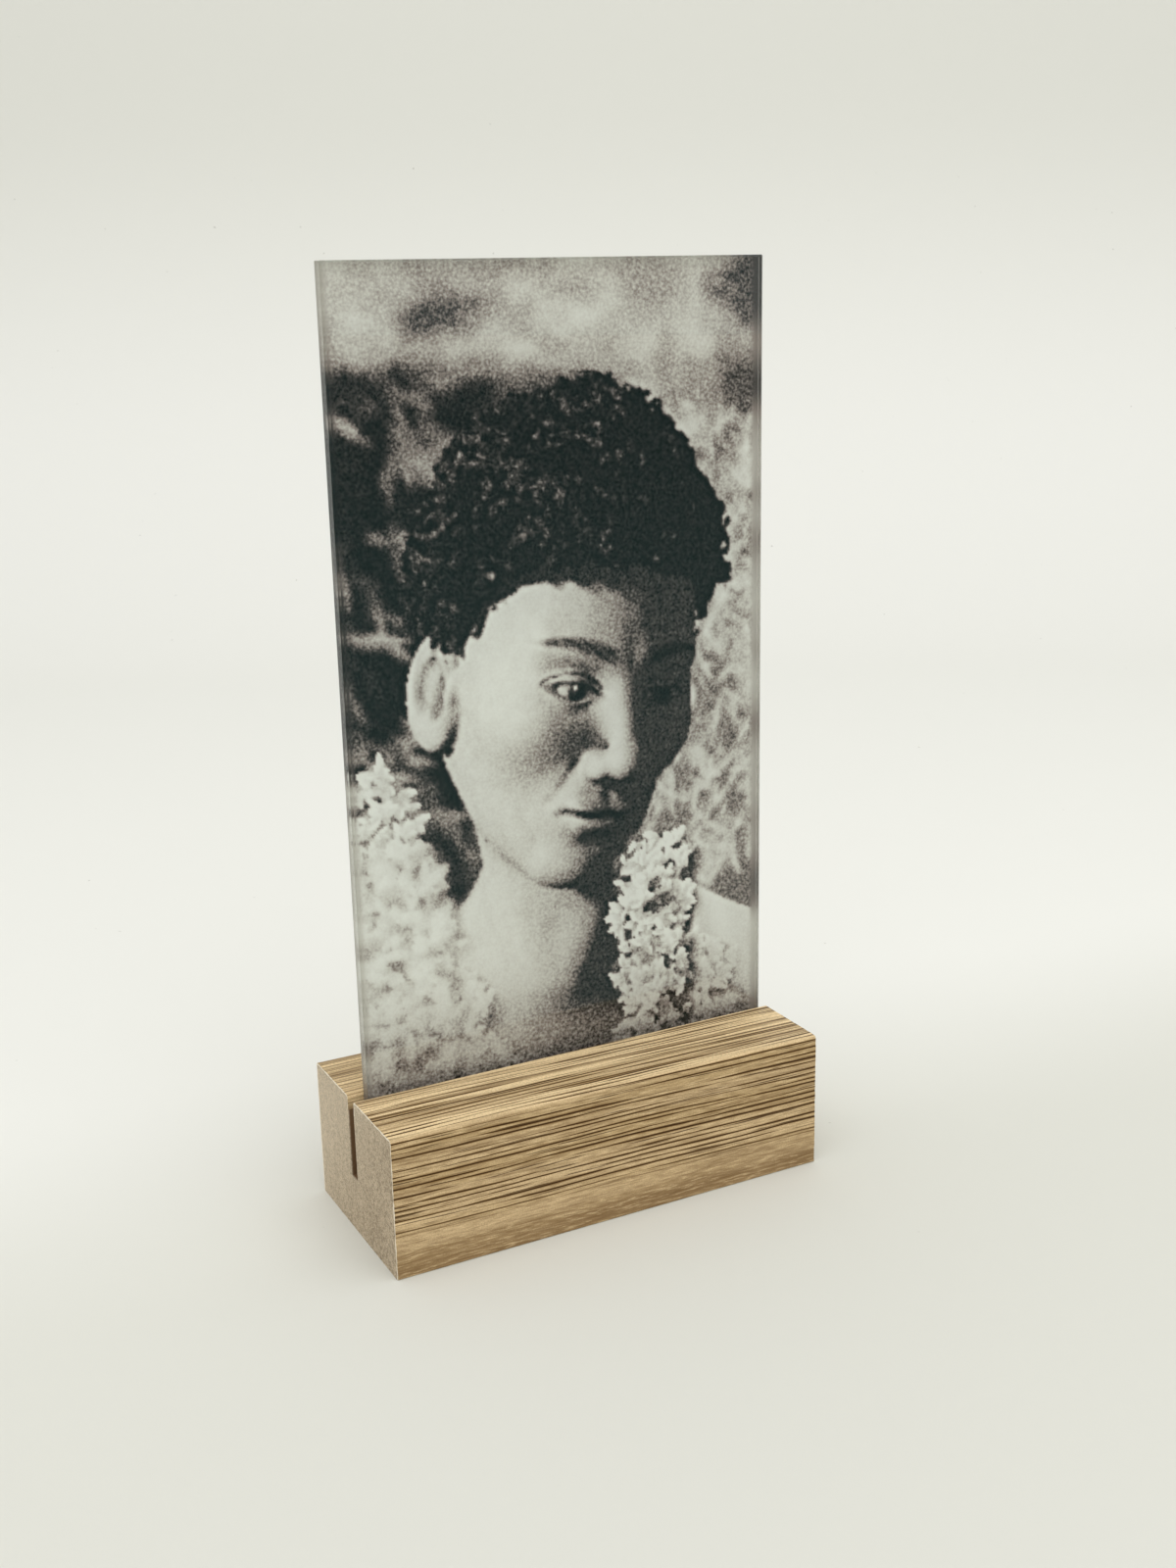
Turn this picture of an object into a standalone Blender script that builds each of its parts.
"""Glass photo plaque that stands in a slotted, oak-look base.

Units are metres and +Z is up. The origin lies on the table under the middle of the base, X runs along the
base, and the picture faces -Y. The base is a fibreboard bar with a slot along its top. Two strips of decor
foil wrap its long faces and tuck into the slot, and its sawn ends and underside stay bare. The pane is float
glass with ground edges. The picture is printed on its back and covered by a white coat.
"""

import math

import bmesh
import bpy

MM = 0.001

# Finished base, over its foil
BASE_LENGTH = 105 * MM
BASE_DEPTH = 45 * MM
BASE_HEIGHT = 32 * MM

# Slot for the pane, open at the top and at both ends
SLOT_DEPTH = 19 * MM
SLOT_SETBACK = 0.8 * MM  # how far the slot lies behind the middle of the base

# Fibreboard bar
CORE_EDGE_RADIUS = 0.4 * MM  # its two long top edges
CORE_LIP_RADIUS = 0.5 * MM  # the two lips of its slot
ARC_STEPS = 6  # facets in each rounded edge

# Decor foil
FOIL_THICKNESS = 0.4 * MM
GLUE_LINE = 0.05 * MM  # between foil and fibreboard
FOIL_TUCK = 3.4 * MM  # how far the foil runs down each wall of the slot
FOIL_TRIM = 0.2 * MM  # height of its lower edge above the table

# Glass pane
GLASS_WIDTH = 100 * MM
GLASS_HEIGHT = 192 * MM
GLASS_THICKNESS = 3 * MM
FRONT_ARRIS = 0.45 * MM  # flat ground along the edges of its face
REAR_ARRIS = 0.1 * MM  # and along the edges of its back
CORNER_DUB = 0.25 * MM  # off its four corners
PANE_SHIFT = 1.1 * MM  # where the pane stands along the slot, from the middle of the base
SEAT_GAP = 0.05 * MM  # under the pane, at the bottom of the slot

# Picture on the back of the glass
PRINT_MARGIN = 0.12 * MM  # bare glass round the print
PRINT_THICKNESS = 0.08 * MM
COAT_THICKNESS = 0.12 * MM
BOND_GAP = 0.02 * MM  # between the glass, the print and the coat

PANE_CLEARANCE = 0.12 * MM  # to the walls of the slot, on each side of the pane

# Sizes that follow from those above
FOIL_BUILD = GLUE_LINE + FOIL_THICKNESS
PANE_STACK = GLASS_THICKNESS + PRINT_THICKNESS + COAT_THICKNESS + 2 * BOND_GAP
SLOT_MOUTH = PANE_STACK + 2 * PANE_CLEARANCE
SLOT_FLOOR = BASE_HEIGHT - SLOT_DEPTH
FRONT, REAR = -1, 1


def clear_scene():
    for obj in list(bpy.data.objects):
        bpy.data.objects.remove(obj, do_unlink=True)


def plain_material(name, colour, roughness, alpha=1.0, transmission=0.0):
    material = bpy.data.materials.new(name)
    material.use_nodes = True
    shader = material.node_tree.nodes["Principled BSDF"]
    shader.inputs["Base Color"].default_value = (*colour, 1.0)
    shader.inputs["Roughness"].default_value = roughness
    shader.inputs["Metallic"].default_value = 0.0
    shader.inputs["Alpha"].default_value = alpha
    shader.inputs["Transmission Weight"].default_value = transmission
    material.diffuse_color = (*colour, alpha)
    return material


def empty(name, location):
    holder = bpy.data.objects.new(name, None)
    holder.location = location
    bpy.context.scene.collection.objects.link(holder)
    return holder


def place(name, mesh, material, parent, location):
    """One named piece, at a location in its parent's frame."""
    mesh.materials.append(material)
    obj = bpy.data.objects.new(name, mesh)
    obj.parent = parent
    obj.location = location
    bpy.context.scene.collection.objects.link(obj)
    return obj


def mesh_from(bm, name):
    bmesh.ops.recalc_face_normals(bm, faces=bm.faces)
    mesh = bpy.data.meshes.new(name)
    bm.to_mesh(mesh)
    bm.free()
    return mesh


def extruded(name, outline):
    """A bar of the base's length whose section is `outline`, a closed list of (y, z) points."""
    bm = bmesh.new()
    corners = [bm.verts.new((-BASE_LENGTH / 2, y, z)) for y, z in outline]
    section = bm.faces.new(corners)
    grown = bmesh.ops.extrude_face_region(bm, geom=[section])
    moved = [item for item in grown["geom"] if isinstance(item, bmesh.types.BMVert)]
    bmesh.ops.translate(bm, verts=moved, vec=(BASE_LENGTH, 0, 0))
    return mesh_from(bm, name)


def sheet(name, width, thickness, height):
    """An upright sheet, centred on X, from y 0 back to its thickness and from z 0 up to its height."""
    bm = bmesh.new()
    bmesh.ops.create_cube(bm, size=1.0)
    bmesh.ops.scale(bm, verts=bm.verts, vec=(width, thickness, height))
    bmesh.ops.translate(bm, verts=bm.verts, vec=(0, thickness / 2, height / 2))
    return mesh_from(bm, name)


def glass_ring(bm, depth, inset):
    """The outline of the glass at a depth behind its face, with its corners dubbed off."""
    half = GLASS_WIDTH / 2 - inset
    low, high = inset, GLASS_HEIGHT - inset
    outline = [
        (CORNER_DUB - half, low), (half - CORNER_DUB, low),
        (half, low + CORNER_DUB), (half, high - CORNER_DUB),
        (half - CORNER_DUB, high), (CORNER_DUB - half, high),
        (-half, high - CORNER_DUB), (-half, low + CORNER_DUB),
    ]
    return [bm.verts.new((x, depth, z)) for x, z in outline]


def glass_mesh(name):
    """The sheet of glass, from its face at y 0 back, with the flats that are ground along its edges."""
    bm = bmesh.new()
    rings = [
        glass_ring(bm, 0, FRONT_ARRIS),
        glass_ring(bm, FRONT_ARRIS, 0),
        glass_ring(bm, GLASS_THICKNESS - REAR_ARRIS, 0),
        glass_ring(bm, GLASS_THICKNESS, REAR_ARRIS),
    ]
    for near, far in zip(rings, rings[1:]):
        for index in range(len(near)):
            bm.faces.new((near[index - 1], near[index], far[index], far[index - 1]))
    bm.faces.new(rings[0])
    bm.faces.new(rings[-1])
    return mesh_from(bm, name)


def rounded(centre, radius, toward, start, end):
    """Points of a quarter turn. `toward` is the side, -1 or 1 in y, on which the turn lies."""
    for step in range(ARC_STEPS + 1):
        angle = math.radians(start + (end - start) * step / ARC_STEPS)
        yield centre[0] + toward * radius * math.cos(angle), centre[1] + radius * math.sin(angle)


def half_section(side, proud, bottom, wall_end):
    """The section line of the front or rear half of the bar, `proud` of the fibreboard under its foil: up the
    outer face from `bottom`, round the top edge, across the top, round the lip and down to `wall_end`."""
    under = FOIL_BUILD - proud
    face = side * (BASE_DEPTH / 2 - under)
    wall = SLOT_SETBACK + side * (SLOT_MOUTH / 2 + under)
    top = BASE_HEIGHT - under
    edge_radius = CORE_EDGE_RADIUS + proud
    lip_radius = CORE_LIP_RADIUS + proud
    edge_centre = (face - side * edge_radius, top - edge_radius)
    lip_centre = (wall + side * lip_radius, top - lip_radius)
    return [
        (face, bottom),
        *rounded(edge_centre, edge_radius, side, 0, 90),
        *rounded(lip_centre, lip_radius, -side, 90, 0),
        (wall, wall_end),
    ]


def core_half(side):
    """Half of the fibreboard's section. Its slot is rebated for the foil, and sawn flush with it below that."""
    ledge = BASE_HEIGHT - FOIL_TUCK - GLUE_LINE
    sawn_wall = SLOT_SETBACK + side * SLOT_MOUTH / 2
    return [*half_section(side, 0.0, 0.0, ledge), (sawn_wall, ledge), (sawn_wall, SLOT_FLOOR)]


def make_core(parent):
    front = core_half(FRONT)
    rear = core_half(REAR)
    fibreboard = plain_material("fibreboard", (0.42, 0.33, 0.24), 0.9)
    return place("base_core", extruded("base_core", front + rear[::-1]), fibreboard, parent, (0, 0, 0))


def make_foil(name, side, material, parent):
    tuck_end = BASE_HEIGHT - FOIL_TUCK
    outside = half_section(side, FOIL_BUILD, FOIL_TRIM, tuck_end)
    inside = half_section(side, GLUE_LINE, FOIL_TRIM, tuck_end)
    return place(name, extruded(name, outside + inside[::-1]), material, parent, (0, 0, 0))


def make_pane(seat):
    """Glass, print and coat, front to back. The seat is at the middle of the pane's lower edge, in the
    middle of the slot."""
    glass = plain_material("glass", (0.80, 0.87, 0.84), 0.03, alpha=0.35, transmission=1.0)
    ink = plain_material("print_ink", (0.40, 0.40, 0.38), 0.4)
    white = plain_material("white_coat", (0.82, 0.82, 0.79), 0.5)
    glass_front = -PANE_STACK / 2
    print_front = glass_front + GLASS_THICKNESS + BOND_GAP
    coat_front = print_front + PRINT_THICKNESS + BOND_GAP
    place("glass_pane", glass_mesh("glass_pane"), glass, seat, (0, glass_front, 0))
    print_width = GLASS_WIDTH - 2 * PRINT_MARGIN
    print_height = GLASS_HEIGHT - 2 * PRINT_MARGIN
    picture = sheet("photo_print", print_width, PRINT_THICKNESS, print_height)
    place("photo_print", picture, ink, seat, (0, print_front, PRINT_MARGIN))
    coat = sheet("white_backing", print_width, COAT_THICKNESS, print_height)
    place("white_backing", coat, white, seat, (0, coat_front, PRINT_MARGIN))


def main():
    clear_scene()
    base = empty("base_origin", (0, 0, 0))
    seat = empty("pane_seat", (PANE_SHIFT, SLOT_SETBACK, SLOT_FLOOR + SEAT_GAP))
    make_core(base)
    oak = plain_material("oak_foil", (0.47, 0.33, 0.18), 0.45)
    make_foil("front_foil", FRONT, oak, base)
    make_foil("rear_foil", REAR, oak, base)
    make_pane(seat)


main()
